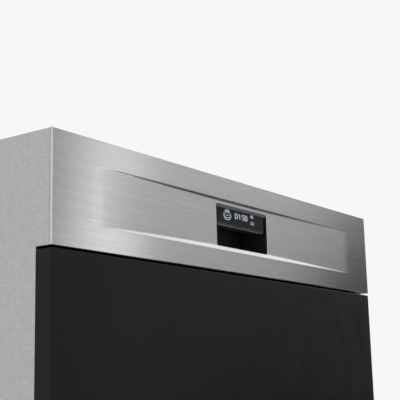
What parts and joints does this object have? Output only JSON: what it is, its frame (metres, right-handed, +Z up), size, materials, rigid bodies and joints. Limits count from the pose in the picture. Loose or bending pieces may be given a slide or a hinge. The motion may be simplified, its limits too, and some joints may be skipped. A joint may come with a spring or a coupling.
{
  "type": "dishwasher",
  "caption": "Semi-integrated built-in dishwasher: steel fascia with display and finger pull, furniture panel on a drop-down door, racks on rails, spray arms.",
  "frame": {"origin": "on the floor, under the middle of the machine", "axes": "+X to the right seen from the front, +Y into the machine, +Z up; the front faces -Y"},
  "size_m": [0.598, 0.57, 0.82],
  "materials": {
    "fascia_steel": "stainless steel, fine horizontal brushing",
    "tub_steel": "bright stainless steel",
    "zinc_steel": "galvanised steel sheet",
    "spring_steel": "oiled spring steel",
    "black_lacquer": "board with matt black lacquer",
    "black_plastic": "moulded, fine grain",
    "display_glass": "dark tinted window",
    "button_plastic": "satin key caps",
    "grey_plastic": "moulded, fine grain",
    "cap_plastic": "satin blue",
    "foot_plastic": "zinc-plated steel",
    "gasket_rubber": "soft matt rubber",
    "coated_wire": "steel wire with nylon coat",
    "circuit_board": "laminate with parts"
  },
  "bodies": {
    "cabinet": {"base_pan": "black_plastic", "tub": "tub_steel", "tub_floor": "tub_steel", "tub_gasket": "gasket_rubber", "case_panels": "zinc_steel", "top_cover": "zinc_steel", "plinth_plate": "black_plastic", "door_strike": "zinc_steel", "worktop_brackets": "zinc_steel", "sump": "grey_plastic", "circulation_pump": "grey_plastic", "drain_pump": "grey_plastic", "softener_tank": "grey_plastic", "inlet_valve": "grey_plastic", "drain_outlet": "grey_plastic", "mains_gland": "grey_plastic", "air_break": "grey_plastic", "feed_pipe": "grey_plastic", "rack_rails": "zinc_steel", "hinge_brackets": "zinc_steel", "door_springs": "spring_steel", "filter_plate": "tub_steel"},
    "door": {"door_frame": "zinc_steel", "door_liner": "tub_steel", "furniture_panel": "black_lacquer", "fascia_skin": "fascia_steel", "control_housing": "black_plastic", "display_window": "display_glass", "display_module": "black_plastic", "control_board": "circuit_board", "latch_body": "grey_plastic", "hinge_arms": "zinc_steel", "dispenser_body": "grey_plastic"},
    "rack_upper": {"upper_rack": "coated_wire", "rack_runners": "zinc_steel", "upper_duct": "grey_plastic"},
    "rail_middle": {"middle_rails": "zinc_steel"},
    "arm_upper": {"upper_spray_arm": "grey_plastic"},
    "tray": {"cutlery_tray": "coated_wire"},
    "rack_lower": {"lower_rack": "coated_wire", "wheel_carriers": "grey_plastic"},
    "tines": {"folding_tines": "coated_wire"},
    "arm_lower": {"lower_spray_arm": "grey_plastic"},
    "filter": {"filter_cylinder": "grey_plastic"},
    "cap_salt": {"salt_cap": "cap_plastic"},
    "cap_rinse": {"rinse_cap": "cap_plastic"},
    "lid_detergent": {"detergent_lid": "grey_plastic"},
    "lever_latch": {"latch_lever": "grey_plastic"},
    "wheels_front": {"wheels_front": "grey_plastic"},
    "wheels_mid_front": {"wheels_mid_front": "grey_plastic"},
    "wheels_mid_rear": {"wheels_mid_rear": "grey_plastic"},
    "wheels_rear": {"wheels_rear": "grey_plastic"},
    "button_power": {"button_power": "button_plastic"},
    "button_program": {"button_program": "button_plastic"},
    "button_options": {"button_options": "button_plastic"},
    "button_start": {"button_start": "button_plastic"},
    "foot_front_left": {"foot_front_left": "foot_plastic"},
    "foot_front_right": {"foot_front_right": "foot_plastic"},
    "foot_rear_left": {"foot_rear_left": "foot_plastic"},
    "foot_rear_right": {"foot_rear_right": "foot_plastic"}
  },
  "joints": [
    {"name": "door_hinge", "type": "hinge", "parent": "cabinet", "child": "door", "pos_m": [0, -0.256, 0.15], "axis": [1, 0, 0], "range_deg": [0, 90], "stiffness_Nm_per_rad": 14},
    {"name": "upper_rack_slide", "type": "slide", "parent": "cabinet", "child": "rack_upper", "axis": [0, -1, 0], "range_m": [0, 0.4]},
    {"name": "middle_rail_slide", "type": "slide", "parent": "cabinet", "child": "rail_middle", "axis": [0, -1, 0], "range_m": [0, 0.2]},
    {"name": "tray_slide", "type": "slide", "parent": "cabinet", "child": "tray", "axis": [0, -1, 0], "range_m": [0, 0.33]},
    {"name": "lower_rack_slide", "type": "slide", "parent": "cabinet", "child": "rack_lower", "axis": [0, -1, 0], "range_m": [0, 0.42]},
    {"name": "wheel_spin_front", "type": "hinge", "parent": "rack_lower", "child": "wheels_front", "pos_m": [0, -0.12, 0.2153], "axis": [1, 0, 0], "continuous": true},
    {"name": "wheel_spin_mid_front", "type": "hinge", "parent": "rack_lower", "child": "wheels_mid_front", "pos_m": [0, -0.022, 0.2153], "axis": [1, 0, 0], "continuous": true},
    {"name": "wheel_spin_mid_rear", "type": "hinge", "parent": "rack_lower", "child": "wheels_mid_rear", "pos_m": [0, 0.084, 0.2153], "axis": [1, 0, 0], "continuous": true},
    {"name": "wheel_spin_rear", "type": "hinge", "parent": "rack_lower", "child": "wheels_rear", "pos_m": [0, 0.188, 0.2153], "axis": [1, 0, 0], "continuous": true},
    {"name": "tines_fold", "type": "hinge", "parent": "rack_lower", "child": "tines", "pos_m": [0.11, 0, 0.2323], "axis": [0, -1, 0], "range_deg": [0, 90]},
    {"name": "upper_arm_spin", "type": "hinge", "parent": "rack_upper", "child": "arm_upper", "pos_m": [0, 0.022, 0.469], "axis": [0, 0, 1], "continuous": true},
    {"name": "lower_arm_spin", "type": "hinge", "parent": "cabinet", "child": "arm_lower", "pos_m": [0, 0.022, 0.199], "axis": [0, 0, 1], "continuous": true},
    {"name": "filter_twist", "type": "hinge", "parent": "cabinet", "child": "filter", "pos_m": [0, -0.085, 0.172], "axis": [0, 0, 1], "range_deg": [0, 90]},
    {"name": "salt_cap_turn", "type": "hinge", "parent": "cabinet", "child": "cap_salt", "pos_m": [-0.175, -0.11, 0.172], "axis": [0, 0, 1], "range_deg": [0, 720]},
    {"name": "rinse_cap_turn", "type": "hinge", "parent": "door", "child": "cap_rinse", "pos_m": [0.02, -0.215, 0.515], "axis": [0, 1, 0], "range_deg": [0, 90]},
    {"name": "detergent_lid_slide", "type": "slide", "parent": "door", "child": "lid_detergent", "axis": [0, 0, -1], "range_m": [0, 0.074]},
    {"name": "latch_lift", "type": "hinge", "parent": "door", "child": "lever_latch", "pos_m": [0, -0.2285, 0.8084], "axis": [1, 0, 0], "range_deg": [0, 8]},
    {"name": "press_power", "type": "slide", "parent": "door", "child": "button_power", "axis": [0, 0, -1], "range_m": [0, 0.0012], "stiffness_N_per_m": 600, "springref_m": -0.0005},
    {"name": "press_program", "type": "slide", "parent": "door", "child": "button_program", "axis": [0, 0, -1], "range_m": [0, 0.0012], "stiffness_N_per_m": 600, "springref_m": -0.0005},
    {"name": "press_options", "type": "slide", "parent": "door", "child": "button_options", "axis": [0, 0, -1], "range_m": [0, 0.0012], "stiffness_N_per_m": 600, "springref_m": -0.0005},
    {"name": "press_start", "type": "slide", "parent": "door", "child": "button_start", "axis": [0, 0, -1], "range_m": [0, 0.0012], "stiffness_N_per_m": 600, "springref_m": -0.0005},
    {"name": "level_front_left", "type": "slide", "parent": "cabinet", "child": "foot_front_left", "axis": [0, 0, 1], "range_m": [-0.06, 0]},
    {"name": "level_front_right", "type": "slide", "parent": "cabinet", "child": "foot_front_right", "axis": [0, 0, 1], "range_m": [-0.06, 0]},
    {"name": "level_rear_left", "type": "slide", "parent": "cabinet", "child": "foot_rear_left", "axis": [0, 0, 1], "range_m": [-0.06, 0]},
    {"name": "level_rear_right", "type": "slide", "parent": "cabinet", "child": "foot_rear_right", "axis": [0, 0, 1], "range_m": [-0.06, 0]}
  ],
  "couplings": [
    {"joint": "upper_rack_slide", "follows": "door_hinge", "m_per_rad": 0.2546},
    {"joint": "middle_rail_slide", "follows": "door_hinge", "m_per_rad": 0.1273},
    {"joint": "tray_slide", "follows": "door_hinge", "m_per_rad": 0.21},
    {"joint": "lower_rack_slide", "follows": "door_hinge", "m_per_rad": 0.085},
    {"joint": "wheel_spin_front", "follows": "door_hinge", "ratio": 4.25},
    {"joint": "wheel_spin_mid_front", "follows": "door_hinge", "ratio": 4.25},
    {"joint": "wheel_spin_mid_rear", "follows": "door_hinge", "ratio": 4.25},
    {"joint": "wheel_spin_rear", "follows": "door_hinge", "ratio": 4.25}
  ]
}
